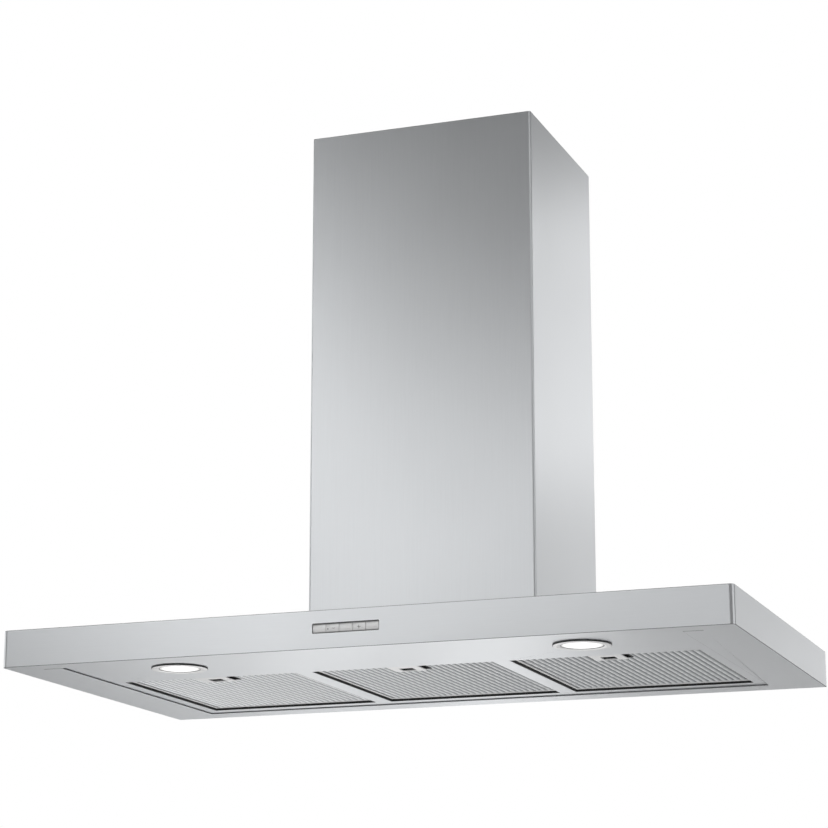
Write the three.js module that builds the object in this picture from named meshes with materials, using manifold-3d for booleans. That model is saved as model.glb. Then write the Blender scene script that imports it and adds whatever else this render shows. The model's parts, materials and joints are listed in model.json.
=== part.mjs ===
// A wall-mounted chimney range hood: a flat box canopy with three grease filters, two lamps and a
// five-button control strip, a blower in a steel box above it, and a two-part telescopic chimney.
// Millimetres. +X is to the right, +Y into the wall, +Z up. The origin is on the wall plane, at the
// middle of the width, level with the canopy's lower edge.
import * as THREE from "three";
import { mergeVertices } from "three/addons/utils/BufferGeometryUtils.js";
import Module from "manifold-3d";

const wasm = await Module();
wasm.setup();

// ---------------------------------------------------------------- driving dimensions
const GAP = 0.3; // between pieces that rest on each other
const SHEET = 1.2; // steel sheet
const PAST = 5; // how far a cutting tool runs past the face it opens

const CANOPY = { width: 900, depth: 500, height: 45, cornerRadius: 6 };
const FLANGE = { side: 66, front: 28, rear: 39 }; // the canopy's bottom return flanges
const RELIEF = { length: 24, width: 1.2 }; // corner relief slots of the bottom opening
const KEYHOLE = { x: 300, z: 14, head: 4.5, neck: 2.6, rise: 12 };

const PANEL = { bottom: 1.5, overlap: 8, rimTop: 9 };
const FILTER_OPENING = { width: 232, depth: 276, pitch: 253.5, front: -332 };
const FILTER = { side: 1.2, front: 1.4, rear: 2, thickness: 9, wall: 1, flange: 4 };
const GROOVE = { bottom: 1.7, top: 3.9 }; // in the filter's frame, for the edge of its mesh
const RECESS = 3; // of the filter's face above the panel's
const RIB = { pitch: 8.05, count: 27, flat: 2.6, slope: 1.7, crest: 0.3, root: 1.9 };
const MESH_TOP = GROOVE.top - GAP;
const HOOK = { x: 70, width: 16, reach: 7, bottom: 5.5 };

const LATCH = { width: 40, depth: 38, thickness: 1.8, drop: 0.9, travel: 6 };
const FINGER_HOLE = { width: 18, depth: 20, behindEdge: 15 };
const CUP = { width: 50, depth: 36, behindEdge: 6, top: 6.6, wall: 1, bottom: -0.4 };

const LAMP = { x: 253, y: -418, bezel: 34, lens: 24.2, neck: 28.6, hole: 29, proud: 2.4 };

const CONTROL = { x: -5.2, z: 23.8, width: 81.5, height: 10.8, buttons: 5, travel: 2 };
const BUTTON = { gap: 0.4, recess: 0.6, depth: 8, chamfer: 2.6, crown: 0.9 };
const HOUSING = { side: 6, above: 7, depth: 24, pocket: 13 };

const CHIMNEY = { width: 300, depth: 264, top: 720, cornerRadius: 3, flange: 18 };
const UPPER = { clearance: 0.6, sheet: 1, bottom: 187, drop: 1, backSpace: 1.7 };
const VENT = { count: 7, length: 90, height: 5, pitch: 10, belowTop: 88 };
const BRACKET = { belowTop: 38, height: 24, plate: 1.5 };

const MOTOR_BOX = { halfWidth: 135, front: -250, back: -14, top: 340, flange: 10 };
const TOP_OPENING = { halfWidth: 125, front: -245, back: -19 };
const DUCT = { y: -132, outer: 75, inner: 73, top: 403, hole: 73 };
const BLOWER = { z: 165, halfWidth: 75, wall: 2, tongue: 84, growth: 26, inlet: 62, top: 338 };
const WHEEL = { radius: 72, inner: 60, halfLength: 62, blades: 18, hub: 10, bore: 4.4 };
const MOTOR = { radius: 40, back: -64, front: 0, shaft: 4, shaftEnd: 14 };
const FLAP = { z: 356, radius: 71, start: 6, thickness: 1.6, knuckle: 4.3, bore: 2.9, pin: 2.5 };

// ---------------------------------------------------------------- materials
const finish = (color, roughness, metalness) =>
  new THREE.MeshStandardMaterial({ color, roughness, metalness });
const BRUSHED_STEEL = finish(0xc4c6c8, 0.34, 1);
const GALVANISED = finish(0xa9adb0, 0.5, 0.9);
const ALUMINIUM = finish(0xc2c5c6, 0.4, 0.95);
const SATIN_SILVER = finish(0xcfd1d2, 0.45, 0.3);
const BLACK_PLASTIC = finish(0x1c1d1f, 0.55, 0);
const GREY_PLASTIC = finish(0x8c8f92, 0.6, 0);
const FROSTED_GLASS = finish(0xf4f4ee, 0.3, 0);
const BOARD_GREEN = finish(0x2c5a3a, 0.6, 0);
const BRIGHT_ZINC = finish(0xb8b9b4, 0.35, 1);

// ---------------------------------------------------------------- geometry helpers
function box([x0, y0, z0], [x1, y1, z1]) {
  const middle = [(x0 + x1) / 2, (y0 + y1) / 2, (z0 + z1) / 2];
  return new THREE.BoxGeometry(x1 - x0, y1 - y0, z1 - z0).translate(...middle);
}

// A cylinder that starts at a point and runs along +X, +Y or +Z.
function rod(axis, [x, y, z], radius, length, sides = 28) {
  const made = new THREE.CylinderGeometry(radius, radius, length, sides).translate(0, length / 2, 0);
  if (axis === "x") made.rotateZ(-Math.PI / 2);
  if (axis === "z") made.rotateX(Math.PI / 2);
  return made.translate(x, y, z);
}

// A body of revolution about +Z, from its closed profile of [radius, height] corners.
function turned(profile, sides = 32) {
  const points = [...profile, profile[0]].map(([r, h]) => new THREE.Vector2(r, h));
  return new THREE.LatheGeometry(points, sides).rotateX(Math.PI / 2);
}

// An outline in the plane square to an axis, run along that axis. The outline is in x and y for "z",
// in y and z for "x", and in x and z for "y".
function prism(axis, outline, from, to, curveSegments = 6) {
  const shape = outline instanceof THREE.Shape ? outline : polygon(outline);
  const made = new THREE.ExtrudeGeometry(shape, {
    depth: to - from,
    bevelEnabled: false,
    curveSegments,
  });
  const X = new THREE.Vector3(1, 0, 0);
  const Y = new THREE.Vector3(0, 1, 0);
  const Z = new THREE.Vector3(0, 0, 1);
  if (axis === "x") return made.applyMatrix4(new THREE.Matrix4().makeBasis(Y, Z, X)).translate(from, 0, 0);
  if (axis === "y") {
    const turn = new THREE.Matrix4().makeBasis(X, Z, Y.clone().negate());
    return made.applyMatrix4(turn).translate(0, to, 0);
  }
  return made.translate(0, 0, from);
}

function polygon(points) {
  return new THREE.Shape(points.map(([a, b]) => new THREE.Vector2(a, b)));
}

// The outline of a sheet-metal box seen from above: its two front corners are bent to a radius.
function bentBox(halfWidth, front, back, radius) {
  const shape = new THREE.Shape();
  shape.moveTo(-halfWidth, back);
  shape.lineTo(-halfWidth, front + radius);
  shape.absarc(-halfWidth + radius, front + radius, radius, Math.PI, Math.PI * 1.5);
  shape.lineTo(halfWidth - radius, front);
  shape.absarc(halfWidth - radius, front + radius, radius, Math.PI * 1.5, Math.PI * 2);
  shape.lineTo(halfWidth, back);
  return shape;
}

function solidOf(geometry) {
  const bare = geometry.index ? geometry.toNonIndexed() : geometry.clone();
  bare.deleteAttribute("normal");
  bare.deleteAttribute("uv");
  const merged = mergeVertices(bare, 1e-4);
  return new wasm.Manifold(
    new wasm.Mesh({
      numProp: 3,
      vertProperties: merged.attributes.position.array,
      triVerts: new Uint32Array(merged.index.array),
    }),
  );
}

function geometryOf(solid) {
  const { vertProperties, triVerts } = solid.getMesh();
  const made = new THREE.BufferGeometry();
  made.setAttribute("position", new THREE.BufferAttribute(vertProperties, 3));
  made.setIndex(new THREE.BufferAttribute(triVerts, 1));
  const faceted = made.toNonIndexed();
  faceted.computeVertexNormals();
  return faceted;
}

function join(...pieces) {
  return geometryOf(pieces.map(solidOf).reduce((whole, piece) => whole.add(piece)));
}

function cut(base, ...tools) {
  return geometryOf(tools.map(solidOf).reduce((left, tool) => left.subtract(tool), solidOf(base)));
}

// ---------------------------------------------------------------- assembly helpers
const hood = new THREE.Group();

function group(x, y, z, parent = hood) {
  const made = new THREE.Group();
  made.position.set(x, y, z);
  parent.add(made);
  return made;
}

function part(name, geometry, material, parent = hood) {
  const mesh = new THREE.Mesh(geometry, material);
  mesh.name = name;
  parent.add(mesh);
  return mesh;
}

// ---------------------------------------------------------------- canopy
const BOTTOM_OPENING = {
  halfWidth: CANOPY.width / 2 - FLANGE.side,
  front: -CANOPY.depth + FLANGE.front,
  back: -FLANGE.rear,
};

function canopyOutline(inset) {
  const { width, depth, cornerRadius } = CANOPY;
  return bentBox(width / 2 - inset, -depth + inset, -inset, cornerRadius - inset);
}

function keyhole(x) {
  const { z, head, neck, rise } = KEYHOLE;
  const from = -SHEET - PAST;
  return join(
    rod("y", [x, from, z], head, SHEET + 2 * PAST, 16),
    box([x - neck, from, z], [x + neck, PAST, z + rise]),
  );
}

function reliefSlot(side) {
  const { halfWidth, front } = BOTTOM_OPENING;
  const inner = side * (halfWidth - PAST);
  const outer = side * (halfWidth + RELIEF.length);
  return box(
    [Math.min(inner, outer), front, -PAST],
    [Math.max(inner, outer), front + RELIEF.width, SHEET + PAST],
  );
}

function canopyShell() {
  const { halfWidth, front, back } = BOTTOM_OPENING;
  const { height, depth } = CANOPY;
  const slot = { left: CONTROL.x - CONTROL.width / 2, bottom: CONTROL.z - CONTROL.height / 2 };
  return cut(
    prism("z", canopyOutline(0), 0, height),
    prism("z", canopyOutline(SHEET), SHEET, height - SHEET),
    box([-halfWidth, front, -PAST], [halfWidth, back, SHEET + PAST]),
    box(
      [-TOP_OPENING.halfWidth, TOP_OPENING.front, height - SHEET - PAST],
      [TOP_OPENING.halfWidth, TOP_OPENING.back, height + PAST],
    ),
    box(
      [slot.left, -depth - PAST, slot.bottom],
      [slot.left + CONTROL.width, -depth + PAST, slot.bottom + CONTROL.height],
    ),
    reliefSlot(-1),
    reliefSlot(1),
    keyhole(-KEYHOLE.x),
    keyhole(KEYHOLE.x),
    ...MOTOR_BOX_SCREWS.map(([x, y]) => rod("z", [x, y, height - SHEET - PAST], 2.2, 2 * PAST, 10)),
  );
}

// ---------------------------------------------------------------- bottom panel
const FILTER_SIDES = ["left", "centre", "right"];
const filterX = (index) => (index - 1) * FILTER_OPENING.pitch;
const OPENING_BACK = FILTER_OPENING.front + FILTER_OPENING.depth;

function filterOpening(index, margin, bottom, top) {
  const half = FILTER_OPENING.width / 2 + margin;
  return box(
    [filterX(index) - half, FILTER_OPENING.front - margin, bottom],
    [filterX(index) + half, OPENING_BACK + margin, top],
  );
}

function bottomPanel() {
  const { halfWidth, front, back } = BOTTOM_OPENING;
  const { bottom, overlap, rimTop } = PANEL;
  const plate = box(
    [-halfWidth - overlap, front - overlap, bottom],
    [halfWidth + overlap, back + overlap, bottom + SHEET],
  );
  const rims = FILTER_SIDES.map((_, i) => filterOpening(i, SHEET, bottom, rimTop));
  const openings = FILTER_SIDES.map((_, i) => filterOpening(i, 0, bottom - PAST, rimTop + PAST));
  const lampHoles = [-LAMP.x, LAMP.x].map((x) =>
    rod("z", [x, LAMP.y, bottom - PAST], LAMP.hole, 2 * PAST + SHEET),
  );
  return cut(join(plate, ...rims), ...openings, ...lampHoles);
}

// ---------------------------------------------------------------- grease filters
// Each filter is built about its hinge: the rear lip that its hooks turn on is the group's origin.
const HINGE = { y: OPENING_BACK - 1, z: PANEL.bottom + RECESS };
const EDGE = FILTER_OPENING.front - HINGE.y; // the opening's front edge, seen from the hinge
const FRAME = {
  halfWidth: FILTER_OPENING.width / 2 - FILTER.side,
  front: EDGE + FILTER.front,
  back: 1 - FILTER.rear,
};

const LATCH_STEM = { halfWidth: 5, front: EDGE + 6.6, thickness: 3 };
const STEM_SLOT = {
  halfWidth: LATCH_STEM.halfWidth,
  front: LATCH_STEM.front,
  back: LATCH_STEM.front + LATCH_STEM.thickness + LATCH.travel,
  play: 0.5,
};

function inFrame(inset, bottom, top) {
  const { halfWidth, front, back } = FRAME;
  return box([-halfWidth + inset, front + inset, bottom], [halfWidth - inset, back - inset, top]);
}

function filterFrame() {
  const { wall, flange, thickness } = FILTER;
  const ring = cut(
    inFrame(0, 0, thickness),
    inFrame(wall, GROOVE.bottom, GROOVE.top),
    inFrame(flange, -PAST, thickness + PAST),
  );
  const hooks = [-HOOK.x, HOOK.x].map((x) =>
    box(
      [x - HOOK.width / 2, FRAME.back - wall, HOOK.bottom],
      [x + HOOK.width / 2, HOOK.reach, HOOK.bottom + SHEET],
    ),
  );
  return join(ring, ...hooks);
}

// The cross-section of the ribbed mesh: flat on top, with trapezoid ribs hanging from a root line.
function ribOutline() {
  const { pitch, count, flat, slope, crest, root } = RIB;
  const half = (pitch * count) / 2;
  const rib = (i) => {
    const middle = (i + 0.5) * pitch - half;
    return [
      [middle - flat / 2 - slope, root],
      [middle - flat / 2, crest],
      [middle + flat / 2, crest],
      [middle + flat / 2 + slope, root],
    ];
  };
  const ribs = Array.from({ length: count }, (_, i) => rib(i)).flat();
  return [[-half, MESH_TOP], [-half, root], ...ribs, [half, root], [half, MESH_TOP]];
}

function filterMesh() {
  const { wall, flange } = FILTER;
  const ribs = prism("y", ribOutline(), FRAME.front + flange + GAP, FRAME.back - flange - GAP);
  const pack = inFrame(wall + GAP, GROOVE.bottom + GAP, MESH_TOP);
  return cut(join(ribs, pack), cupBox(GAP, -PAST, CUP.top + GAP));
}

function cupBox(margin, bottom, top) {
  const half = CUP.width / 2 + margin;
  const front = EDGE + CUP.behindEdge;
  return box([-half, front - margin, bottom], [half, front + CUP.depth + margin, top]);
}

// The cup behind the latch keeps grease off the finger. The latch's stem slides in a slot in its top.
function fingerCup() {
  const { wall, top, bottom } = CUP;
  const { halfWidth, front, back, play } = STEM_SLOT;
  return cut(
    cupBox(0, bottom, top),
    cupBox(-wall, bottom - PAST, top - wall),
    box([-halfWidth - play, front - play, bottom - PAST], [halfWidth + play, back + play, top + PAST]),
  );
}

// The sliding latch: a flush plate with a finger hole, a stem through the filter, and a tongue on top.
function filterLatch() {
  const { width, depth, thickness, drop } = LATCH;
  const { width: hole, depth: holeDepth, behindEdge } = FINGER_HOLE;
  const top = -drop;
  const plate = cut(
    box([-width / 2, EDGE + 0.8, top - thickness], [width / 2, EDGE + 0.8 + depth, top]),
    box([-hole / 2, EDGE + behindEdge, top - PAST], [hole / 2, EDGE + behindEdge + holeDepth, PAST]),
  );
  const { halfWidth, front: stemFront, thickness: stemThickness } = LATCH_STEM;
  const over = FILTER.thickness + GAP;
  const stem = box([-halfWidth, stemFront, top - 0.5], [halfWidth, stemFront + stemThickness, over + 0.5]);
  const tongue = box([-9, EDGE + 0.8, over], [9, stemFront + stemThickness, over + SHEET]);
  return join(plate, stem, tongue);
}

FILTER_SIDES.forEach((side, i) => {
  const filter = group(filterX(i), HINGE.y, HINGE.z);
  part(`filter_frame_${side}`, filterFrame(), ALUMINIUM, filter);
  part(`filter_mesh_${side}`, filterMesh(), ALUMINIUM, filter);
  part(`finger_cup_${side}`, fingerCup(), BLACK_PLASTIC, filter);
  part(`filter_latch_${side}`, filterLatch(), SATIN_SILVER, filter);
});

// ---------------------------------------------------------------- lamps
function lampBezel() {
  const { bezel, lens, neck, proud } = LAMP;
  return turned([
    [lens + 0.4, -proud],
    [bezel - 1, -proud],
    [bezel, -proud + 1],
    [bezel, -GAP],
    [neck, -GAP],
    [neck, 10],
    [neck - 1.2, 10],
    [neck - 1.2, 0],
    [lens + 0.4, -0.8],
  ]);
}

function lampBody() {
  const { neck } = LAMP;
  return join(rod("z", [0, 0, 0.6], neck - 1.6, 12), rod("z", [0, 0, 10.6], neck + 2, 12));
}

[["left", -LAMP.x], ["right", LAMP.x]].forEach(([side, x]) => {
  const lamp = group(x, LAMP.y, PANEL.bottom);
  part(`lamp_bezel_${side}`, lampBezel(), SATIN_SILVER, lamp);
  part(`lamp_lens_${side}`, rod("z", [0, 0, -1.9], LAMP.lens, 2.2, 32), FROSTED_GLASS, lamp);
  part(`lamp_body_${side}`, lampBody(), GREY_PLASTIC, lamp);
});

function lampDriver() {
  const floor = PANEL.bottom + SHEET + GAP;
  return box([-200, -455, floor], [-112, -413, floor + 22]);
}
part("lamp_driver", lampDriver(), GREY_PLASTIC);

// ---------------------------------------------------------------- control strip
const BUTTON_PITCH = CONTROL.width / CONTROL.buttons;
const FRONT = -CANOPY.depth;

// The button's stem keeps clear of the housing by this much all round.
const STEM = { radius: 2, clearance: 0.5, length: 8 };
const buttonX = (i) => (i - (CONTROL.buttons - 1) / 2) * BUTTON_PITCH;

// The local origin is the middle of the slot, on the canopy's front face.
function switchHousing() {
  const { width, height } = CONTROL;
  const half = width / 2 + HOUSING.side;
  const tall = height / 2 + HOUSING.above;
  const front = SHEET + GAP;
  const stemHoles = Array.from({ length: CONTROL.buttons }, (_, i) =>
    rod("y", [buttonX(i), 0, 0], STEM.radius + STEM.clearance, HOUSING.depth + PAST, 12),
  );
  return cut(
    box([-half, front, -tall], [half, HOUSING.depth - 4, tall]),
    box([-width / 2, -PAST, -height / 2], [width / 2, HOUSING.pocket, height / 2]),
    ...stemHoles,
  );
}

// A button cap with a crowned face and a chamfer along its lower edge, on a round stem.
function button() {
  const half = CONTROL.height / 2 - BUTTON.gap;
  const { recess, depth, chamfer, crown } = BUTTON;
  const face = [
    [recess + depth, -half],
    [recess + crown + 0.5, -half],
    [recess + 0.15, -half + chamfer],
    [recess, -half + chamfer + 1.2],
    [recess, half - 1.6],
    [recess + crown, half],
    [recess + depth, half],
  ];
  const wide = BUTTON_PITCH / 2 - BUTTON.gap / 2;
  const stem = rod("y", [0, recess + depth - 1, 0], STEM.radius, STEM.length + 1, 12);
  return join(prism("x", face, -wide, wide), stem);
}

const control = group(CONTROL.x, FRONT, CONTROL.z);
part("switch_housing", switchHousing(), BLACK_PLASTIC, control);
part("control_board", box([-44, HOUSING.depth - 3.4, -11], [44, HOUSING.depth - 1.8, 11]), BOARD_GREEN, control);
for (let i = 0; i < CONTROL.buttons; i += 1) {
  part(`button_${i + 1}`, button(), SATIN_SILVER, group(buttonX(i), 0, 0, control));
}

// ---------------------------------------------------------------- blower box
const MOTOR_BOX_SCREWS = [-140, 140].flatMap((x) => [-225, -39].map((y) => [x, y]));
const COLLAR_SCREWS = [-80, 80].flatMap((x) => [-80, 80].map((dy) => [x, DUCT.y + dy]));

function motorBox() {
  const { halfWidth, front, back, top, flange } = MOTOR_BOX;
  const floor = CANOPY.height + GAP;
  const walls = box([-halfWidth, front, floor], [halfWidth, back, top]);
  const foot = box([-halfWidth - flange, front - flange, floor], [halfWidth + flange, back + flange, floor + SHEET]);
  return cut(
    join(walls, foot),
    box(
      [-halfWidth + SHEET, front + SHEET, floor - PAST],
      [halfWidth - SHEET, back - SHEET, top - SHEET],
    ),
    rod("z", [0, DUCT.y, top - PAST], DUCT.hole, 2 * PAST, 40),
    ...MOTOR_BOX_SCREWS.map(([x, y]) => rod("z", [x, y, floor - PAST], 2.2, 2 * PAST + SHEET, 10)),
    ...COLLAR_SCREWS.map(([x, y]) => rod("z", [x, y, top - PAST], 2.2, 2 * PAST, 10)),
  );
}

// A pan-head screw that stands on the origin with its shank pointing down.
function screw(length) {
  return turned(
    [[0, -length], [1.6, -length], [1.6, 0], [4, 0], [4, 1.4], [2.4, 2.6], [0, 2.6]],
    12,
  );
}

part("canopy_shell", canopyShell(), BRUSHED_STEEL);
part("bottom_panel", bottomPanel(), BRUSHED_STEEL);
part("motor_box", motorBox(), GALVANISED);
MOTOR_BOX_SCREWS.forEach(([x, y], i) => {
  const seat = group(x, y, CANOPY.height + SHEET + 2 * GAP);
  part(`motor_box_screw_${i + 1}`, screw(6), BRIGHT_ZINC, seat);
});

// ---------------------------------------------------------------- scroll, wheel and motor
// The scroll's outline in y and z: a spiral from the tongue round to the front wall, then the outlet.
function scrollOutline(inset, top) {
  const { tongue, growth, z } = BLOWER;
  const start = Math.PI / 4;
  const sweep = Math.PI * 1.25;
  const steps = 26;
  const spiral = Array.from({ length: steps + 1 }, (_, i) => {
    const share = i / steps;
    const angle = start - sweep * share;
    const r = tongue + growth * share - inset;
    return [DUCT.y + r * Math.cos(angle), z + r * Math.sin(angle)];
  });
  return [...spiral, [DUCT.y - DUCT.outer + inset, top], [DUCT.y + DUCT.outer - inset, top]];
}

function scrollHousing() {
  const { halfWidth, wall, inlet, top, z } = BLOWER;
  return cut(
    prism("x", scrollOutline(0, top), -halfWidth, halfWidth),
    prism("x", scrollOutline(wall, top + PAST), -halfWidth + wall, halfWidth - wall),
    rod("x", [-halfWidth - PAST, DUCT.y, z], inlet, 2 * (halfWidth + PAST), 32),
  );
}

// The double-inlet wheel, about its own axis: two end rings, a centre disc with a hub, and blades.
function impeller() {
  const { radius, inner, halfLength, blades, hub, bore } = WHEEL;
  const sides = 28;
  const ring = (x) =>
    cut(rod("x", [x, 0, 0], radius, 3, sides), rod("x", [x - 1, 0, 0], inner, 5, sides));
  const blade = (i) =>
    box([-halfLength + 1, -0.6, 0], [halfLength - 1, 0.6, radius - inner - 1])
      .rotateX(-Math.PI / 7)
      .translate(0, 0, inner + 0.3)
      .rotateX((i / blades) * Math.PI * 2);
  const wheel = join(
    ring(-halfLength),
    ring(halfLength - 3),
    rod("x", [4, 0, 0], radius - 1, 3, sides),
    rod("x", [2, 0, 0], hub, 14, 20),
    ...Array.from({ length: blades }, (_, i) => blade(i)),
  );
  return cut(wheel, rod("x", [-PAST, 0, 0], bore, 30, 20));
}

function motor() {
  const { radius, back, front, shaft, shaftEnd } = MOTOR;
  return join(
    rod("x", [back, 0, 0], radius, front - back - 6, 32),
    rod("x", [front - 8, 0, 0], radius - 10, 8, 32),
    rod("x", [front - 2, 0, 0], shaft, shaftEnd - front + 2, 16),
  );
}

// Three arms across the left inlet, with a boss that carries the motor.
function motorBracket() {
  const outside = -BLOWER.halfWidth - GAP;
  const arm = (turn) => box([outside - 3, -7, 0], [outside, 7, 80]).rotateX(turn);
  return join(
    rod("x", [outside - 3, 0, 0], 26, 3, 24),
    rod("x", [outside - 1, 0, 0], 18, MOTOR.back - GAP - outside + 1, 24),
    ...[0, 1, 2].map((i) => arm((i * Math.PI * 2) / 3)),
  );
}

part("scroll_housing", scrollHousing(), BLACK_PLASTIC);
const blowerAxis = group(0, DUCT.y, BLOWER.z);
part("impeller", impeller(), BLACK_PLASTIC, blowerAxis);
part("motor", motor(), GALVANISED, blowerAxis);
part("motor_bracket", motorBracket(), GALVANISED, blowerAxis);

// ---------------------------------------------------------------- outlet collar and its flaps
function outletCollar() {
  const floor = MOTOR_BOX.top + GAP;
  const flange = 88;
  const ledge = { inner: DUCT.inner - 3.5, bottom: FLAP.z - 4, top: FLAP.z - FLAP.thickness / 2 - 0.4 };
  const tube = cut(
    join(
      box([-flange, -flange, floor], [flange, flange, floor + 2.5]),
      rod("z", [0, 0, floor], DUCT.outer, DUCT.top - floor, 40),
    ),
    rod("z", [0, 0, floor - PAST], DUCT.inner, DUCT.top + 2 * PAST - floor, 40),
  );
  const ring = cut(
    rod("z", [0, 0, ledge.bottom], DUCT.inner + 0.5, ledge.top - ledge.bottom, 40),
    rod("z", [0, 0, ledge.bottom - 1], ledge.inner, ledge.top - ledge.bottom + 2, 40),
  );
  return cut(
    join(tube, ring),
    rod("x", [-DUCT.outer - PAST, 0, FLAP.z], FLAP.pin + 0.4, 2 * (DUCT.outer + PAST), 16),
    ...COLLAR_SCREWS.map(([x, y]) => rod("z", [x, y - DUCT.y, floor - PAST], 2.2, 2 * PAST, 10)),
  ).translate(0, DUCT.y, 0);
}

// A half-round flap that lies behind the pin, with two knuckles that turn on it.
function flap(knuckles) {
  const { radius, start, thickness, knuckle, bore } = FLAP;
  const width = 18;
  const from = Math.asin(start / radius);
  const half = new THREE.Shape();
  half.absarc(0, 0, radius, from, Math.PI - from);
  half.closePath();
  const plate = prism("z", half, -thickness / 2, thickness / 2, 24);
  const arms = knuckles.map((x) => box([x, 0, -thickness / 2], [x + width, start + 1, thickness / 2]));
  const eyes = knuckles.map((x) => rod("x", [x, 0, 0], knuckle, width, 16));
  return cut(join(plate, ...arms, ...eyes), rod("x", [-radius, 0, 0], bore, 2 * radius, 16));
}

part("outlet_collar", outletCollar(), BLACK_PLASTIC);
const flapAxis = group(0, DUCT.y, FLAP.z);
part("flap_pin", rod("x", [-DUCT.outer - 1, 0, 0], FLAP.pin, 2 * DUCT.outer + 2, 16), BRIGHT_ZINC, flapAxis);
part("flap_back", flap([-58, 18]), BLACK_PLASTIC, flapAxis);
part("flap_front", flap([-58, 18]).rotateZ(Math.PI), BLACK_PLASTIC, flapAxis);
COLLAR_SCREWS.forEach(([x, y], i) => {
  const seat = group(x, y, MOTOR_BOX.top + 2 * GAP + 2.5);
  part(`collar_screw_${i + 1}`, screw(6), BRIGHT_ZINC, seat);
});

// ---------------------------------------------------------------- electrics on the blower box
const JUNCTION = { left: 93, right: 132, front: -205, back: -60, height: 32, wall: 2 };
const GLAND = { x: 112.5, y: -85, hole: 7.6 };

function junctionBox() {
  const { left, right, front, back, height, wall } = JUNCTION;
  const floor = MOTOR_BOX.top + GAP;
  return cut(
    box([left, front, floor], [right, back, floor + height]),
    box([left + wall, front + wall, floor + wall], [right - wall, back - wall, floor + height + PAST]),
  );
}

function junctionBoxLid() {
  const { left, right, front, back, height } = JUNCTION;
  const seat = MOTOR_BOX.top + 2 * GAP + height;
  return cut(
    box([left, front, seat], [right, back, seat + 2.4]),
    rod("z", [GLAND.x, GLAND.y, seat - PAST], GLAND.hole, 2 * PAST + 3, 20),
  );
}

// The mains cable comes in here: a threaded gland with its nut inside the box.
function cableGland() {
  const profile = [[4, -6], [7, -6], [7, GAP], [11, GAP], [11, 7], [9, 8], [8, 16], [4, 16]];
  return turned(profile, 18);
}

function capacitor(y, length) {
  return join(rod("y", [0, y, 0], 16, length, 28), rod("y", [0, y - 6, 0], 11, 8, 20));
}

function capacitorClip() {
  const low = -19;
  return cut(
    join(rod("y", [0, -6, 0], 17.8, 12, 28), box([-22, -6, low], [22, 6, low + 2])),
    rod("y", [0, -10, 0], 16.4, 20, 28),
  );
}

part("junction_box", junctionBox(), GREY_PLASTIC);
part("junction_box_lid", junctionBoxLid(), GREY_PLASTIC);
const lidTop = MOTOR_BOX.top + 2 * GAP + JUNCTION.height + 2.4;
part("cable_gland", cableGland(), BLACK_PLASTIC, group(GLAND.x, GLAND.y, lidTop));
const capacitorSeat = group(-113, DUCT.y, MOTOR_BOX.top + GAP + 19);
part("capacitor", capacitor(-34, 68), GREY_PLASTIC, capacitorSeat);
part("capacitor_clip", capacitorClip(), GALVANISED, capacitorSeat);

// ---------------------------------------------------------------- chimney
// A three-sided cover of bent sheet: front, two sides, and a return flange at each back edge.
function chimneyCover(halfWidth, front, back, radius, sheet, bottom, top, flange) {
  return cut(
    prism("z", bentBox(halfWidth, front, back, radius), bottom, top),
    prism("z", bentBox(halfWidth - sheet, front + sheet, back - sheet, radius - sheet), bottom - PAST, top + PAST),
    box([-halfWidth + flange, back - sheet - PAST, bottom - PAST], [halfWidth - flange, back + PAST, top + PAST]),
  );
}

function chimneyLower() {
  const { width, depth, top, cornerRadius, flange } = CHIMNEY;
  return chimneyCover(width / 2, -depth, 0, cornerRadius, SHEET, CANOPY.height + GAP, top, flange);
}

function chimneyUpper() {
  const { clearance, sheet, bottom, drop, backSpace } = UPPER;
  const inset = SHEET + clearance;
  const cover = chimneyCover(
    CHIMNEY.width / 2 - inset,
    -CHIMNEY.depth + inset,
    -backSpace,
    CHIMNEY.cornerRadius - 1,
    sheet,
    bottom,
    CHIMNEY.top - drop,
    CHIMNEY.flange,
  );
  const vents = Array.from({ length: VENT.count }, (_, i) => {
    const low = CHIMNEY.top - VENT.belowTop + i * VENT.pitch;
    const back = DUCT.y + VENT.length / 2;
    return box([-CHIMNEY.width, back - VENT.length, low], [CHIMNEY.width, back, low + VENT.height]);
  });
  return cut(cover, ...vents);
}

part("chimney_lower", chimneyLower(), BRUSHED_STEEL);
part("chimney_upper", chimneyUpper(), BRUSHED_STEEL);

// ---------------------------------------------------------------- wall fixings
// The bracket that holds the chimney's top: two feet on the wall, a bar, and an arm inside each side.
function chimneyBracket() {
  const arm = CHIMNEY.width / 2 - SHEET - UPPER.clearance - UPPER.sheet - 0.5;
  const { belowTop, height, plate } = BRACKET;
  const middle = CHIMNEY.top - belowTop;
  const z = [middle - height / 2, middle + height / 2];
  const bar = { front: -5, back: -3.5 };
  const armBox = (side) =>
    box(
      [Math.min(side * arm, side * (arm - plate)), -42, z[0]],
      [Math.max(side * arm, side * (arm - plate)), bar.back, z[1]],
    );
  const foot = (x) => rod("y", [x, bar.front + 1, middle], 9, -bar.front - 1, 20);
  const hole = (x) => rod("y", [x, bar.front - PAST, middle], 2.6, 3 * PAST, 12);
  return cut(
    join(
      box([-arm, bar.front, z[0]], [arm, bar.back, z[1]]),
      armBox(-1),
      armBox(1),
      foot(-95),
      foot(95),
    ),
    hole(-95),
    hole(95),
  );
}

// The rail that is screwed to the wall, with an upturned lip for the two hangers.
const RAIL = { halfWidth: 125, bottom: 280, top: 322, shelf: 298, lip: 312, reach: 9.5, plate: 1.5 };

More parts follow.
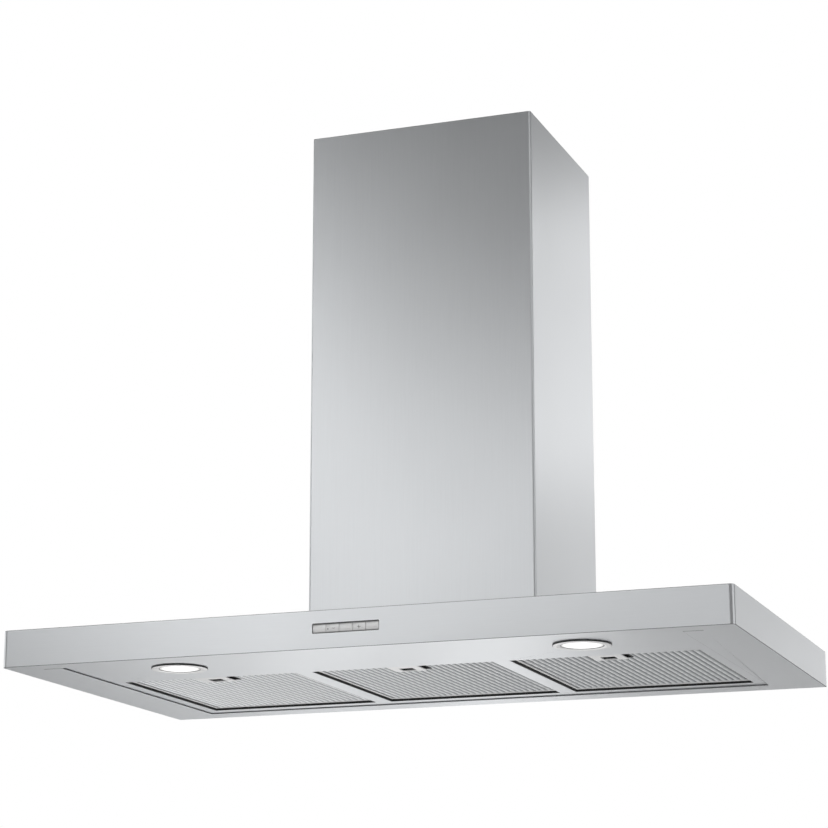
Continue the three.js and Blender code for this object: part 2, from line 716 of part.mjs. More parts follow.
function wallRail() {
  const { halfWidth, bottom, top, shelf, lip, reach, plate } = RAIL;
  const section = [
    [0, bottom],
    [0, top],
    [-plate, top],
    [-plate, shelf + plate],
    [-reach + plate, shelf + plate],
    [-reach + plate, lip],
    [-reach, lip],
    [-reach, shelf],
    [-plate, shelf],
    [-plate, bottom],
  ];
  const holes = [-90, 0, 90].map((x) => rod("y", [x, -PAST, 290], 3, 2 * PAST, 12));
  return cut(prism("x", section, -halfWidth, halfWidth), ...holes);
}

function hanger() {
  const plate = 1.5;
  const back = MOTOR_BOX.back + GAP;
  const over = RAIL.lip + 1;
  const drop = -4.5;
  const section = [
    [back, 262],
    [back + plate, 262],
    [back + plate, over],
    [drop - plate, over],
    [drop - plate, RAIL.shelf + 4],
    [drop, RAIL.shelf + 4],
    [drop, over + plate],
    [back, over + plate],
  ];
  return prism("x", section, -14, 14);
}

part("chimney_bracket", chimneyBracket(), GALVANISED);
part("wall_rail", wallRail(), GALVANISED);
part("hanger_left", hanger(), GALVANISED, group(-92, 0, 0));
part("hanger_right", hanger(), GALVANISED, group(92, 0, 0));

export default hood;
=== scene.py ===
"""The looks of a wall-mounted chimney range hood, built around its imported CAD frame. Metres, Blender 4.5."""
import json
import math

import bmesh
import bpy
from mathutils import Matrix, Vector
from mathutils.geometry import tessellate_polygon


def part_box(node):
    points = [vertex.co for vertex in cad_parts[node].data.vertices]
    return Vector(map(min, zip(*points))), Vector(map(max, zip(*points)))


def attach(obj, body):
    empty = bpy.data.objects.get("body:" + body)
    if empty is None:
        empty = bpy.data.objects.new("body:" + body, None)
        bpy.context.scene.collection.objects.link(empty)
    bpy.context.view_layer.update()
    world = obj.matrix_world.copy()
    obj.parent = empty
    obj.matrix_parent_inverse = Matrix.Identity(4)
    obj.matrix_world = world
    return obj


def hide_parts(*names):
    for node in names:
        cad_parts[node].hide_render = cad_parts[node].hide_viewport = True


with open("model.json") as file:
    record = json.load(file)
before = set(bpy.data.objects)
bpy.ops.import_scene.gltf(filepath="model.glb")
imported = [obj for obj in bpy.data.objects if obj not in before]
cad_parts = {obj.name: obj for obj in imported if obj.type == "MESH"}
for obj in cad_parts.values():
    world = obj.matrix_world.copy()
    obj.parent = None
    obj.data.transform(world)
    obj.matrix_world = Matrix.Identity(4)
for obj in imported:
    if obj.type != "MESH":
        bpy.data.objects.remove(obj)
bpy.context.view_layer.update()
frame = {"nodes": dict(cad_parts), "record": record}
MM = 0.001
HOOD = "hood"
SIDES = ("left", "centre", "right")
RIB_PITCH = 8.05 * MM
BEAD_PITCH = 5.6 * MM
scene = bpy.context.scene


# ---------------------------------------------------------------- camera
# Fitted by a scratch program to the hood's corners in the photo. Rise and turn are in degrees.
CAMERA = {"lens": 111.1, "sensor": 36, "place": (1.0725, -3.1938, -0.4723), "rise": 14.465, "turn": 20.249}


def make_camera():
    data = bpy.data.cameras.new("camera")
    data.lens = CAMERA["lens"]
    data.sensor_width = CAMERA["sensor"]
    data.clip_end = 100
    camera = bpy.data.objects.new("camera", data)
    camera.location = CAMERA["place"]
    camera.rotation_euler = (math.radians(90 + CAMERA["rise"]), 0, math.radians(CAMERA["turn"]))
    scene.collection.objects.link(camera)
    scene.camera = camera


make_camera()


# ---------------------------------------------------------------- material helpers
class Nodes:
    """A material's node tree with its Principled shader, built one line at a time."""

    def __init__(self, name):
        self.material = bpy.data.materials.new(name)
        self.material.use_nodes = True
        self.tree = self.material.node_tree
        self.shader = self.tree.nodes["Principled BSDF"]
        self.place = self.add("ShaderNodeTexCoord").outputs["Object"]

    def add(self, kind, **settings):
        node = self.tree.nodes.new(kind)
        for key, value in settings.items():
            setattr(node, key, value)
        return node

    def link(self, a, b):
        self.tree.links.new(a, b)

    def set(self, **values):
        for key, value in values.items():
            self.shader.inputs[key.replace("_", " ")].default_value = value

    def scaled(self, scale):
        mapping = self.add("ShaderNodeMapping")
        mapping.inputs["Scale"].default_value = scale
        self.link(self.place, mapping.inputs["Vector"])
        return mapping.outputs["Vector"]

    def noise(self, scale, detail=3.0, roughness=0.5):
        node = self.add("ShaderNodeTexNoise")
        node.inputs["Scale"].default_value = 1.0
        node.inputs["Detail"].default_value = detail
        node.inputs["Roughness"].default_value = roughness
        self.link(self.scaled(scale), node.inputs["Vector"])
        return node.outputs["Fac"]

    def cells(self, scale, feature="F1"):
        node = self.add("ShaderNodeTexVoronoi", feature=feature)
        node.inputs["Scale"].default_value = 1.0
        self.link(self.scaled(scale), node.inputs["Vector"])
        return node

    def ranged(self, value, low, high, start=0.3, end=0.7):
        node = self.add("ShaderNodeMapRange")
        node.inputs["From Min"].default_value = start
        node.inputs["From Max"].default_value = end
        node.inputs["To Min"].default_value = low
        node.inputs["To Max"].default_value = high
        self.link(value, node.inputs["Value"])
        return node.outputs["Result"]

    def ramp(self, value, stops):
        node = self.add("ShaderNodeValToRGB")
        while len(node.color_ramp.elements) < len(stops):
            node.color_ramp.elements.new(1.0)
        for element, (position, color) in zip(node.color_ramp.elements, stops):
            element.position = position
            element.color = (*color, 1)
        self.link(value, node.inputs["Fac"])
        return node.outputs["Color"]

    def bump(self, height, strength, distance, below=None):
        node = self.add("ShaderNodeBump")
        node.inputs["Strength"].default_value = strength
        node.inputs["Distance"].default_value = distance
        self.link(height, node.inputs["Height"])
        if below:
            self.link(below, node.inputs["Normal"])
        self.link(node.outputs["Normal"], self.shader.inputs["Normal"])
        return node.outputs["Normal"]


def grey(value, warm=0.0):
    return (value * (1 + warm), value, value * (1 - warm))


# ---------------------------------------------------------------- materials
COOL = -0.024  # stainless steel is a little bluer than grey


def brushed_steel(name, grain, value=0.74, rough=0.33):
    """Stainless sheet with a fine grain along one axis and a faint cloudiness in the polish."""
    n = Nodes(name)
    fine = {"x": (14, 1900, 1900), "y": (1900, 14, 1900), "z": (1900, 1900, 14)}[grain]
    n.set(Metallic=1.0)
    streaks = n.noise(fine, detail=4.0, roughness=0.65)
    clouds = n.noise((3.2, 3.2, 3.2), detail=2.0)
    dark, light = grey(value - 0.016, COOL), grey(value + 0.013, COOL)
    n.link(n.ramp(streaks, [(0.3, dark), (0.7, light)]), n.shader.inputs["Base Color"])
    mix = n.add("ShaderNodeMath", operation="ADD")
    n.link(n.ranged(streaks, rough - 0.02, rough + 0.02), mix.inputs[0])
    n.link(n.ranged(clouds, -0.012, 0.012), mix.inputs[1])
    n.link(mix.outputs["Value"], n.shader.inputs["Roughness"])
    n.bump(streaks, 0.05, 0.02 * MM)
    return n.material


def galvanised_steel():
    """Zinc-coated sheet with its crystalline spangle."""
    n = Nodes("galvanised")
    n.set(Metallic=1.0)
    spangle = n.cells((95, 95, 95)).outputs["Color"]
    split = n.add("ShaderNodeSeparateColor")
    n.link(spangle, split.inputs["Color"])
    zinc = n.ramp(split.outputs["Red"], [(0.0, grey(0.52)), (1.0, grey(0.68))])
    n.link(zinc, n.shader.inputs["Base Color"])
    n.link(n.ranged(split.outputs["Green"], 0.34, 0.52, 0.0, 1.0), n.shader.inputs["Roughness"])
    n.bump(n.noise((420, 420, 420)), 0.12, 0.03 * MM)
    return n.material


def mill_aluminium():
    n = Nodes("aluminium")
    n.set(Metallic=1.0)
    grain = n.noise((900, 30, 900), detail=3.0)
    n.link(n.ramp(grain, [(0.3, grey(0.68)), (0.7, grey(0.76))]), n.shader.inputs["Base Color"])
    n.link(n.ranged(grain, 0.34, 0.46), n.shader.inputs["Roughness"])
    n.bump(grain, 0.08, 0.03 * MM)
    return n.material


def filter_aluminium():
    """Expanded aluminium, its colour darker in the ribs' valleys and lighter on their crests and beads:
    painted shade and light of the ribs, with some grease in the valleys too.
    """
    n = Nodes("filter_mesh")
    n.set(Metallic=1.0)
    split = n.add("ShaderNodeSeparateXYZ")
    n.link(n.scaled((2 * math.pi / RIB_PITCH, 1, 1)), split.inputs["Vector"])
    wave = n.add("ShaderNodeMath", operation="COSINE")
    n.link(split.outputs["X"], wave.inputs[0])
    along = n.add("ShaderNodeSeparateXYZ")
    n.link(n.scaled((math.pi / RIB_PITCH, 2 * math.pi / BEAD_PITCH, 1)), along.inputs["Vector"])
    stagger = n.add("ShaderNodeMath", operation="COSINE")
    n.link(along.outputs["X"], stagger.inputs[0])
    beads = n.add("ShaderNodeMath", operation="COSINE")
    n.link(along.outputs["Y"], beads.inputs[0])
    bead = n.add("ShaderNodeMath", operation="MULTIPLY")
    n.link(stagger.outputs["Value"], bead.inputs[0])
    n.link(beads.outputs["Value"], bead.inputs[1])
    strands = n.cells((340, 180, 90), "DISTANCE_TO_EDGE").outputs["Distance"]
    crest = n.ranged(wave.outputs["Value"], 0.12, 0.92, -0.95, 0.45)
    # Colour by rib and bead: painted shade in the valleys and painted light on the crests, with some grease.
    painted_rib_shade = n.add("ShaderNodeMath", operation="MULTIPLY_ADD")
    n.link(n.ranged(bead.outputs["Value"], -0.28, 0.28, -1.0, 1.0), painted_rib_shade.inputs[0])
    painted_rib_shade.inputs[1].default_value = 1.0
    n.link(crest, painted_rib_shade.inputs[2])
    stops = [(0.0, grey(0.18, -0.05)), (0.45, grey(0.42, -0.035)), (1.0, grey(0.74, -0.01))]
    n.link(n.ramp(painted_rib_shade.outputs["Value"], stops), n.shader.inputs["Base Color"])
    n.link(n.ranged(n.noise((60, 60, 60), detail=2.0), 0.43, 0.52), n.shader.inputs["Roughness"])
    n.bump(strands, 0.25, -0.2 * MM)
    return n.material


def satin_plastic():
    """Silver lacquer over plastic, with fine flake in it."""
    n = Nodes("satin_silver")
    flake = n.noise((2600, 2600, 2600), detail=2.0)
    n.set(Metallic=0.55)
    n.link(n.ramp(flake, [(0.3, grey(0.72)), (0.7, grey(0.8))]), n.shader.inputs["Base Color"])
    n.link(n.ranged(flake, 0.3, 0.4), n.shader.inputs["Roughness"])
    n.bump(flake, 0.05, 0.02 * MM)
    return n.material


def moulded_plastic(name, low, high, rough=0.5):
    n = Nodes(name)
    grain = n.noise((700, 700, 700), detail=3.0)
    n.link(n.ramp(grain, [(0.3, low), (0.7, high)]), n.shader.inputs["Base Color"])
    n.link(n.ranged(grain, rough - 0.06, rough + 0.06), n.shader.inputs["Roughness"])
    n.bump(grain, 0.15, 0.06 * MM)
    return n.material


def bright_zinc():
    n = Nodes("bright_zinc")
    n.set(Metallic=1.0)
    tarnish = n.noise((160, 160, 160), detail=3.0)
    zinc = n.ramp(tarnish, [(0.3, grey(0.66, 0.02)), (0.7, grey(0.74, 0.01))])
    n.link(zinc, n.shader.inputs["Base Color"])
    n.link(n.ranged(tarnish, 0.22, 0.34), n.shader.inputs["Roughness"])
    return n.material


def lit_lens():
    """A frosted diffuser with the light of the diodes behind it, a little weaker towards its rim."""
    n = Nodes("lit_lens")
    centre_distance = n.add("ShaderNodeVectorMath", operation="LENGTH")
    n.link(n.scaled((1, 1, 0)), centre_distance.inputs[0])
    glow = n.ranged(centre_distance.outputs["Value"], 1.25, 0.22, 0.0145, 0.0218)
    frost = n.noise((1500, 1500, 1500), detail=2.0)
    glass = n.ramp(frost, [(0.3, (0.93, 0.93, 0.91)), (0.7, (0.97, 0.97, 0.96))])
    n.link(glass, n.shader.inputs["Base Color"])
    n.link(n.ranged(frost, 0.3, 0.42), n.shader.inputs["Roughness"])
    n.set(Emission_Color=(1.0, 0.99, 0.97, 1))
    n.link(glow, n.shader.inputs["Emission Strength"])
    return n.material


def circuit_board():
    n = Nodes("board_green")
    tracks = n.cells((300, 300, 300)).outputs["Distance"]
    lacquer = n.ramp(tracks, [(0.2, (0.02, 0.10, 0.04)), (0.5, (0.03, 0.16, 0.07))])
    n.link(lacquer, n.shader.inputs["Base Color"])
    n.link(n.ranged(tracks, 0.3, 0.45), n.shader.inputs["Roughness"])
    return n.material


def pale_floor():
    n = Nodes("pale_floor")
    n.link(n.ramp(n.noise((2, 2, 2)), [(0.3, grey(0.80)), (0.7, grey(0.83))]), n.shader.inputs["Base Color"])
    n.set(Roughness=0.7)
    return n.material


STEEL_X = brushed_steel("steel_grain_x", "x")
STEEL_Z = brushed_steel("steel_grain_z", "z")
# Nearly black steel on the rounded edges of canopy and chimney: painted dark reflections along their bends.
PAINTED_EDGE_SHADE = brushed_steel("painted_edge_shade", "x", value=0.16, rough=0.45)
GALVANISED = galvanised_steel()
ALUMINIUM = mill_aluminium()
FILTER_MESH = filter_aluminium()
SILVER = satin_plastic()
BLACK = moulded_plastic("black_plastic", (0.017, 0.017, 0.018), (0.026, 0.026, 0.027), 0.5)
GREY = moulded_plastic("grey_plastic", grey(0.30), grey(0.34), 0.5)
# Near-black lining of the filter openings' walls: painted shade.
OPENING_SHADE = moulded_plastic("painted_opening_shade", (0.012, 0.012, 0.013), (0.02, 0.02, 0.02), 0.75)
MARK = moulded_plastic("mark_ink", grey(0.16), grey(0.2), 0.5)
ZINC = bright_zinc()
LENS = lit_lens()
BOARD = circuit_board()

BY_SLOT = {
    "brushed_steel": STEEL_X,
    "galvanised": GALVANISED,
    "aluminium": ALUMINIUM,
    "satin_silver": SILVER,
    "black_plastic": BLACK,
    "grey_plastic": GREY,
    "frosted_glass": LENS,
    "board_green": BOARD,
    "bright_zinc": ZINC,
}


# ---------------------------------------------------------------- mesh helpers
def soften(obj, width, segments=2, angle=32, edge=None):
    """Rounds the edges, in their own material if one is given, and shades each face by its largest facets."""
    for polygon in obj.data.polygons:
        polygon.use_smooth = True
    weld = obj.modifiers.new("weld", "WELD")
    weld.merge_threshold = 0.005 * MM
    bevel = obj.modifiers.new("bevel", "BEVEL")
    bevel.width = width * MM
    bevel.segments = segments
    bevel.limit_method = "ANGLE"
    bevel.angle_limit = math.radians(angle)
    bevel.miter_outer = "MITER_ARC"
    if edge:
        obj.data.materials.append(edge)
        bevel.material = 1
        bevel.use_clamp_overlap = False
    weighted = obj.modifiers.new("weighted", "WEIGHTED_NORMAL")
    weighted.weight = 100
    weighted.keep_sharp = True


def new_piece(name, verts, faces, smooth=True):
    mesh = bpy.data.meshes.new(name)
    mesh.from_pydata([tuple(v) for v in verts], [], faces)
    shell = bmesh.new()
    shell.from_mesh(mesh)
    bmesh.ops.recalc_face_normals(shell, faces=shell.faces)
    shell.to_mesh(mesh)
    shell.free()
    for polygon in mesh.polygons:
        polygon.use_smooth = smooth
    obj = bpy.data.objects.new(name, mesh)
    scene.collection.objects.link(obj)
    return obj


def dress(obj, body, slot, material, *nodes):
    obj.data.materials.clear()
    obj.data.materials.append(material)
    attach(obj, body)
    if nodes:
        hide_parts(*nodes)
    return obj


def plate(loops, low, high):
    """A flat plate with holes: the first loop is its outline. Returns its corners and faces."""
    flat = [Vector((x, y, 0)) for loop in loops for x, y in loop]
    fill = tessellate_polygon([[Vector((x, y, 0)) for x, y in loop] for loop in loops])
    count = len(flat)
    verts = [(v.x, v.y, low) for v in flat] + [(v.x, v.y, high) for v in flat]
    faces = [tuple(t) for t in fill] + [tuple(i + count for i in reversed(t)) for t in fill]
    start = 0
    for loop in loops:
        size = len(loop)
        for i in range(size):
            a, b = start + i, start + (i + 1) % size
            faces.append((a, b, b + count, a + count))
        start += size
    return verts, faces


def rim(x0, y0, x1, y1, wall, low, high):
    """A rectangular ring of strips standing on edge."""
    outer = [(x0, y0), (x1, y0), (x1, y1), (x0, y1)]
    left, front, right, back = x0 + wall, y0 + wall, x1 - wall, y1 - wall
    inner = [(left, front), (right, front), (right, back), (left, back)]
    verts = [(x, y, z) for z in (low, high) for x, y in outer + inner]
    faces = []
    for i in range(4):
        j = (i + 1) % 4
        faces += [(i, j, j + 4, i + 4), (i + 8, i + 12, j + 12, j + 8)]
        faces += [(i, i + 8, j + 8, j), (i + 4, j + 4, j + 12, i + 12)]
    return verts, faces


def rounded(x0, y0, x1, y1, radius, steps=6):
    corners = [(x1 - radius, y1 - radius, 0), (x0 + radius, y1 - radius, 90),
               (x0 + radius, y0 + radius, 180), (x1 - radius, y0 + radius, 270)]
    return [
        (cx + radius * math.cos(math.radians(start + 90 * i / steps)),
         cy + radius * math.sin(math.radians(start + 90 * i / steps)))
        for cx, cy, start in corners
        for i in range(steps + 1)
    ]


def turned(profile, centre, sides):
    """A body of revolution about a vertical axis, from a closed profile of (radius, height)."""
    verts, faces = [], []
    for i in range(sides):
        angle = 2 * math.pi * i / sides
        for r, h in profile:
            verts.append((centre[0] + r * math.cos(angle), centre[1] + r * math.sin(angle), centre[2] + h))
    count = len(profile)
    for i in range(sides):
        for j in range(count):
            a, b = i * count + j, i * count + (j + 1) % count
            c, d = ((i + 1) % sides) * count + (j + 1) % count, ((i + 1) % sides) * count + j
            faces.append((a, b, c, d))
    return verts, faces


def revolved(name, profile, centre, sides):
    """A piece turned about a vertical axis, from a closed profile of (radius, height) in millimetres."""
    return new_piece(name, *turned([(r * MM, h * MM) for r, h in profile], centre, sides))


def ease(obj, width):
    """Breaks a turned piece's sharp edges."""
    bevel = obj.modifiers.new("edge", "BEVEL")
    bevel.width = width * MM
    bevel.limit_method = "ANGLE"
    bevel.harden_normals = True


def merged(*parts):
    """Several (verts, faces) put into one list each."""
    verts, faces = [], []
    for more_verts, more_faces in parts:
        offset = len(verts)
        verts += list(more_verts)
        faces += [tuple(i + offset for i in f) for f in more_faces]
    return verts, faces


def block(x0, y0, z0, x1, y1, z1):
    return plate([[(x0, y0), (x1, y0), (x1, y1), (x0, y1)]], z0, z1)


# ---------------------------------------------------------------- CAD nodes that stay
EDGES = {
    "canopy_shell": 0.55, "bottom_panel": 0.4, "chimney_lower": 0.5, "chimney_upper": 0.35,
    "motor_box": 0.4, "scroll_housing": 0.6, "impeller": 0.2, "motor": 1.2, "motor_bracket": 0.5,
    "outlet_collar": 0.5, "flap_back": 0.3, "flap_front": 0.3, "flap_pin": 0.3, "junction_box": 0.6,
    "junction_box_lid": 0.7, "cable_gland": 0.4, "capacitor": 1.5, "capacitor_clip": 0.4,
    "chimney_bracket": 0.4, "wall_rail": 0.4, "hanger_left": 0.4, "hanger_right": 0.4,
    "switch_housing": 0.4, "control_board": 0.2, "lamp_driver": 1.5,
}
OWN_MATERIAL = {"chimney_lower": STEEL_Z, "chimney_upper": STEEL_Z}
# Parts whose rounded edges get the painted dark reflection.
DARK_EDGED = ("canopy_shell", "chimney_lower")
SLOTS = {row["node"]: row["material_slot"] for row in frame["record"]["subparts"]}


def edge_of(node):
    for start, width in (("filter_frame", 0.35), ("finger_cup", 0.3), ("button", 0.35)):
        if node.startswith(start):
            return width
    return EDGES.get(node, 0.25)


for node, obj in frame["nodes"].items():
    obj.data.materials.clear()
    obj.data.materials.append(OWN_MATERIAL.get(node, BY_SLOT[SLOTS[node]]))
    soften(obj, edge_of(node), 3, edge=PAINTED_EDGE_SHADE if node in DARK_EDGED else None)


# ---------------------------------------------------------------- grease filters
def rib_height(x, y, pitch, low, high):
    """The mesh's underside: rounded ribs along y, whose pressed beads are staggered from rib to rib."""
    turn = x / pitch
    rib = (0.5 - 0.5 * math.cos(2 * math.pi * turn)) ** 0.8
    bead = 0.16 * math.cos(2 * math.pi * (y / BEAD_PITCH + 0.5 * math.floor(turn)))
    return high - (high - low) * rib * (0.84 - bead)


def filter_sheet():
    """One filter's ribbed sheet about its own centre, with the opening its finger cup needs."""
    low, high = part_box("filter_mesh_centre")
    cup_low, cup_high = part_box("finger_cup_centre")
    frame_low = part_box("filter_frame_centre")[0]
    ribs = 27
    per_rib = 8
    half = RIB_PITCH * ribs / 2
    plain_end = 3.2 * MM
    fade = 2.5 * MM
    front, back = low.y + plain_end, high.y - plain_end
    rows = 104
    columns = ribs * per_rib
    margin = 0.3 * MM
    xs = [low.x] + [-half + 2 * half * i / columns for i in range(columns + 1)] + [high.x]
    ys = [low.y] + [front + (back - front) * j / rows for j in range(rows + 1)] + [high.y]
    root, crest = frame_low.z + 2.3 * MM, frame_low.z + 0.35 * MM
    verts, faces = [], []
    for y in ys:
        for x in xs:
            ribbed = abs(x) <= half + 1e-6 and front - 1e-6 <= y <= back + 1e-6
            ends = min(1.0, max(0.0, min(y - front, back - y) / fade))
            z = rib_height(x + half, y, RIB_PITCH, crest, root) if ribbed else root
            verts.append((x, y, root + (z - root) * ends if ribbed else root))
    width = len(xs)
    for j in range(len(ys) - 1):
        for i in range(width - 1):
            x, y = (xs[i] + xs[i + 1]) / 2, (ys[j] + ys[j + 1]) / 2
            if abs(x) < cup_high.x + margin and cup_low.y - margin < y < cup_high.y + margin:
                continue
            a = j * width + i
            faces.append((a, a + width, a + width + 1, a + 1))
    return verts, faces


def make_filters():
    verts, faces = filter_sheet()
    first = new_piece("mesh_sheet_centre", verts, faces)
    sheet = first.modifiers.new("thick", "SOLIDIFY")
    sheet.thickness = 0.7 * MM
    sheet.offset = -1
    centre = sum(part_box("filter_mesh_centre"), Vector()) / 2
    for side in SIDES:
        obj = first
        if side != "centre":
            obj = first.copy()
            obj.name = f"mesh_sheet_{side}"
            scene.collection.objects.link(obj)
            obj.location.x = (sum(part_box(f"filter_mesh_{side}"), Vector()) / 2 - centre).x
        dress(obj, f"filter_{side}", "aluminium", FILTER_MESH, f"filter_mesh_{side}")


def make_latch(side):
    """The latch: a flush plate with a finger hole, and above it a stem and a tongue."""
    low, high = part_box(f"filter_latch_{side}")
    cx = (low.x + high.x) / 2
    hole_half, hole_front, hole_depth = 9 * MM, low.y + 14.2 * MM, 20 * MM
    plate_loops = [
        rounded(low.x, low.y, high.x, high.y, 2.2 * MM),
        rounded(cx - hole_half, hole_front, cx + hole_half, hole_front + hole_depth, 1.5 * MM),
    ]
    top = low.z + 1.0 * MM
    stem_half, stem_front, stem_depth = 5 * MM, low.y + 5.8 * MM, 3 * MM
    stem_back = stem_front + stem_depth
    tongue_half, tongue_height = 9 * MM, 1.2 * MM
    stem = block(cx - stem_half, stem_front, top - 0.3 * MM, cx + stem_half, stem_back, high.z - 0.6 * MM)
    tongue = block(cx - tongue_half, low.y, high.z - tongue_height, cx + tongue_half, stem_back, high.z)
    obj = new_piece(f"latch_plate_{side}", *merged(plate(plate_loops, low.z, top), stem, tongue))
    soften(obj, 0.3, 3)
    dress(obj, f"latch_{side}", "satin_silver", SILVER, f"filter_latch_{side}")


def make_opening_shade(side):
    """A thin near-black lining inside the rim of each filter opening: painted shade on the opening's walls."""
    frame_low, frame_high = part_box(f"filter_frame_{side}")
    panel_low, panel_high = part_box("bottom_panel")
    beside_frame, behind_mesh, depth, thickness = 1.17 * MM, 3.27 * MM, 275.94 * MM, 0.3 * MM
    x0, x1 = frame_low.x - beside_frame, frame_high.x + beside_frame
    y1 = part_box(f"filter_mesh_{side}")[1].y + behind_mesh
    low, high = panel_low.z + 0.35 * MM, panel_high.z - 0.2 * MM
    strip = rim(x0, y1 - depth, x1, y1, thickness, low, high)
    obj = new_piece(f"opening_shade_lining_{side}", *strip, smooth=False)
    dress(obj, HOOD, "black_plastic", OPENING_SHADE)


make_filters()
for side in SIDES:
    make_latch(side)
    make_opening_shade(side)


# ---------------------------------------------------------------- lamps
def make_lamp(side):
    low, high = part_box(f"lamp_bezel_{side}")
    centre = ((low.x + high.x) / 2, (low.y + high.y) / 2, low.z)
    outer = 34.0
    face = [
        (25.3, 1.9), (25.3, 0.7), (25.6, 0.25), (26.3, 0.05), (28.6, 0.0), (28.75, 0.35), (29.25, 0.35),
        (29.4, 0.0), (32.8, 0.0), (33.4, 0.12), (outer - 0.3, 0.45), (outer - 0.3, 2.1),
    ]
    neck = [(28.5, 2.1), (28.5, 12.3), (27.5, 12.3), (27.5, 2.6)]
    bezel = revolved(f"bezel_{side}", face + neck, centre, 128)
    ease(bezel, 0.12)
    dress(bezel, HOOD, "satin_silver", SILVER, f"lamp_bezel_{side}")

    # The bezel's outer wall in black: painted shade on that wall.
    wall = [(outer - 0.7, 0.55), (outer - 0.1, 0.5), (outer, 0.65), (outer, 2.25), (outer - 0.7, 2.25)]
    shade_ring = revolved(f"bezel_shade_ring_{side}", wall, centre, 128)
    dress(shade_ring, HOOD, "black_plastic", BLACK)
    well = [(24.3, 0.55), (25.2, 0.55), (25.2, 2.2), (24.3, 2.2)]
    ring = revolved(f"lens_ring_{side}", well, centre, 96)
    dress(ring, HOOD, "black_plastic", GREY)

    dome = [(0.001, 0.15)] + [(24.2 * i / 10, 0.15 + 0.75 * (i / 10) ** 2) for i in range(1, 11)]
    dome += [(24.2, 2.7), (0.001, 2.7)]
    lens = revolved(f"lens_{side}", dome, (0, 0, 0), 96)
    lens.location = (centre[0], centre[1], low.z + 0.2 * MM)
    dress(lens, HOOD, "frosted_glass", LENS, f"lamp_lens_{side}")

    body = [(0.001, 0.0), (26.4, 0.0), (27.0, 0.6), (27.0, 9.0), (30.6, 10.0)]
    fins, fin_pitch = 5, 2.4
    for i in range(fins):
        base = 10.0 + i * fin_pitch
        body += [(30.6, base + 1.2), (25.5, base + 1.2), (25.5, base + fin_pitch), (30.6, base + fin_pitch)]
    body += [(0.001, 22.0)]
    sink = revolved(f"heat_sink_{side}", body, (*centre[:2], low.z + 3.0 * MM), 64)
    ease(sink, 0.2)
    dress(sink, HOOD, "grey_plastic", GREY, f"lamp_body_{side}")


make_lamp("left")
make_lamp("right")


# ---------------------------------------------------------------- buttons
def make_marks():
    """Plain marks on the buttons: a status light on one, and short strokes on others."""
    for number, marks in (
        (2, [(-5.6, -1.2, 0.75, 0.75), (1.2, -0.6, 2.1, 0.3)]),
        (4, [(0.0, -0.6, 2.1, 0.3), (0.0, -0.6, 0.3, 2.1)]),
    ):
        low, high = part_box(f"button_{number}")
        cx, cz = (low.x + high.x) / 2, (low.z + high.z) / 2
        for i, (x, z, w, h) in enumerate(marks):
            loop = rounded(-w * MM, -h * MM, w * MM, h * MM, min(w, h) * MM * 0.95)
            obj = new_piece(f"button_{number}_mark_{i + 1}", *plate([loop], -0.05 * MM, 0.05 * MM))
            place = Matrix.Translation((cx + x * MM, low.y + 0.05 * MM, cz + z * MM))
            obj.matrix_world = place @ Matrix.Rotation(math.radians(90), 4, "X")
            dress(obj, f"button_{number}_cap", "black_plastic", MARK)


make_marks()


# ---------------------------------------------------------------- stage and light
def area_light(name, place, target, size, energy):
    data = bpy.data.lights.new(name, "AREA")
    data.shape = "RECTANGLE"
    data.size, data.size_y = size
    data.energy = energy
    light = bpy.data.objects.new(name, data)
    light.location = place
    light.rotation_euler = (Vector(target) - Vector(place)).to_track_quat("-Z", "Y").to_euler()
    light.visible_camera = False
    scene.collection.objects.link(light)


# Name, place, target, size in metres, energy in watts. The energies of back_centre, right_side, left_side,
# back_left_high and front_right_high are given. The other 13 are a scratch program's least-squares fit of
# this scene's tones to the photo's, which also dropped the lights that came out under 0.3 W.
LIGHTS = [
    ("front_left_middle", (-2.1, -3.4, 0.9), (0, -0.3, 0.3), (0.9, 0.5), 0.4),
    ("front_left_high", (-2.1, -3.4, 1.5), (0, -0.3, 0.3), (0.9, 0.5), 6.4),
    ("front_middle", (-1.0, -3.7, 0.9), (0, -0.3, 0.3), (0.9, 0.5), 3.0),
    ("front_right", (0.1, -3.8, 0.7), (0.2, -0.3, 0.2), (0.9, 1.2), 3.4),
    ("back_low", (1.25, 3.3, 0.2), (0.2, 0, 0.2), (1.0, 0.8), 1.3),
    ("back_level", (1.25, 3.3, 0.9), (0.2, 0, 0.3), (1.0, 0.8), 1.1),
    ("back_middle", (1.25, 3.3, 1.5), (0.2, 0, 0.3), (1.0, 0.8), 2.1),
    ("back_high", (1.25, 3.3, 2.2), (0.2, 0, 0.3), (1.0, 0.8), 1.1),
    ("back_right", (2.4, 2.7, 0.8), (0.2, 0, 0.3), (1.0, 1.2), 2.6),
    ("back_centre", (0.0, 3.9, 0.6), (0, 0, 0.3), (3.0, 3.0), 18.0),
    ("right_side", (3.8, -0.3, 0.6), (0.2, 0, 0.3), (3.0, 3.0), 22.0),
    ("left_side", (-3.8, -0.3, 0.6), (-0.2, 0, 0.3), (3.0, 3.0), 28.0),
    ("back_left_high", (-2.0, 3.4, 2.0), (-0.1, 0, 0.3), (2.4, 2.4), 14.0),
    ("front_right_high", (2.2, -3.2, 2.2), (0.1, -0.2, 0.3), (2.4, 2.0), 12.0),
    ("under_near", (-0.8, 1.6, -1.0), (0, -0.2, 0), (1.0, 0.7), 2.2),
    ("under_left", (-1.2, 1.6, -1.0), (0, -0.2, 0), (0.8, 0.7), 0.9),
    ("under_back", (-1.0, 2.4, -0.7), (0, -0.2, 0), (0.7, 0.5), 0.6),
    ("front_left_low", (-1.6, -3.7, 0.45), (0, -0.3, 0.1), (0.6, 0.5), 2.3),
]
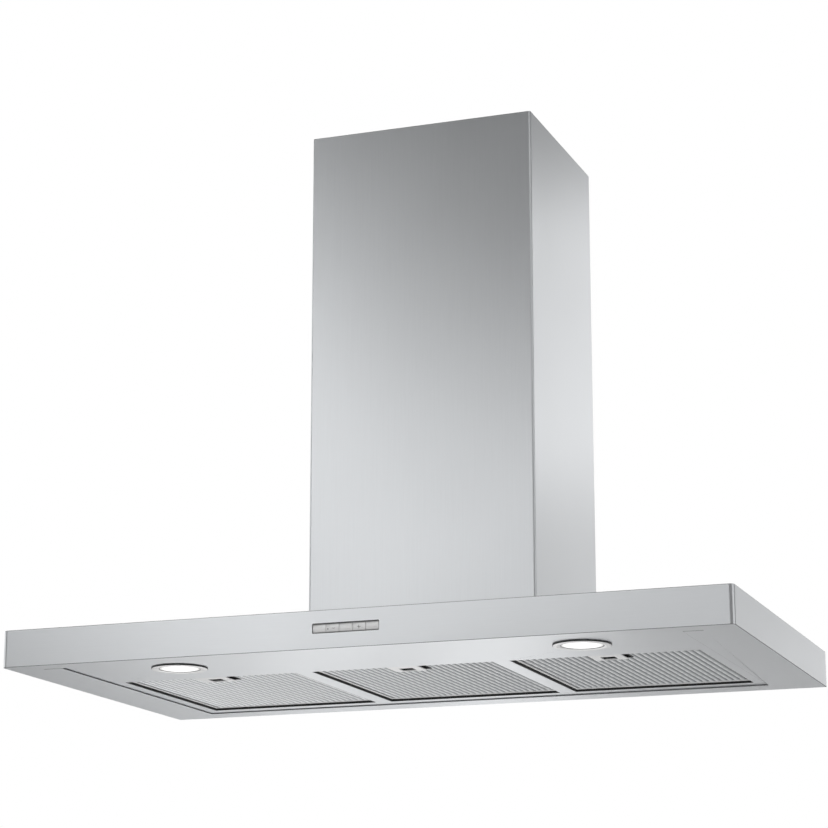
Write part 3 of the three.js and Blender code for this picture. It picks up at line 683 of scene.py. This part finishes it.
# A camera lower than z sees only the floor's underside, and not the hood.
FLOOR = {"z": -4.2, "reach": 60.0, "back": 9.0}


def make_sun(strength=1.9):
    """Soft light from straight above, which keeps the floor pale without a glare on the steel."""
    data = bpy.data.lights.new("sky", "SUN")
    data.energy = strength
    data.angle = math.radians(60)
    light = bpy.data.objects.new("sky", data)
    light.location = (0, 0, 6)
    light.visible_glossy = False
    scene.collection.objects.link(light)


def make_floor(name, front, back, material):
    z, reach = FLOOR["z"], FLOOR["reach"]
    corners = [(-reach, front, z), (reach, front, z), (reach, back, z), (-reach, back, z)]
    floor = new_piece(name, corners, [(0, 1, 2, 3)], smooth=False)
    floor.data.materials.append(material)
    return floor


def make_stage():
    """The floor and the lights. The floor's far part stays out of reflections: the underside needs that."""
    material = pale_floor()
    make_floor("floor", -FLOOR["reach"], FLOOR["back"], material)
    make_floor("floor_far", FLOOR["back"], FLOOR["reach"], material).visible_glossy = False
    make_sun()
    for light in LIGHTS:
        area_light(*light)


def make_world(level=0.08, overhead=0.62, dim_below=0.55, full_above=0.9):
    """A soft surround, dim at eye level and brighter overhead. The camera sees it white."""
    world = bpy.data.worlds.new("studio")
    world.use_nodes = True
    tree = world.node_tree
    tree.nodes.clear()
    seen = tree.nodes.new("ShaderNodeBackground")
    seen.inputs["Color"].default_value = (1, 1, 1, 1)
    around = tree.nodes.new("ShaderNodeBackground")
    around.inputs["Color"].default_value = (1, 1, 1, 1)
    direction = tree.nodes.new("ShaderNodeSeparateXYZ")
    tree.links.new(tree.nodes.new("ShaderNodeTexCoord").outputs["Generated"], direction.inputs["Vector"])
    rise = tree.nodes.new("ShaderNodeMapRange")
    rise.interpolation_type = "SMOOTHSTEP"
    limits = {"From Min": dim_below, "From Max": full_above, "To Min": level, "To Max": overhead}
    for name, value in limits.items():
        rise.inputs[name].default_value = value
    tree.links.new(direction.outputs["Z"], rise.inputs["Value"])
    tree.links.new(rise.outputs["Result"], around.inputs["Strength"])
    path = tree.nodes.new("ShaderNodeLightPath")
    mix = tree.nodes.new("ShaderNodeMixShader")
    out = tree.nodes.new("ShaderNodeOutputWorld")
    tree.links.new(path.outputs["Is Camera Ray"], mix.inputs["Fac"])
    tree.links.new(around.outputs["Background"], mix.inputs[1])
    tree.links.new(seen.outputs["Background"], mix.inputs[2])
    tree.links.new(mix.outputs["Shader"], out.inputs["Surface"])
    scene.world = world


make_stage()
make_world()
scene.view_settings.view_transform = "Standard"
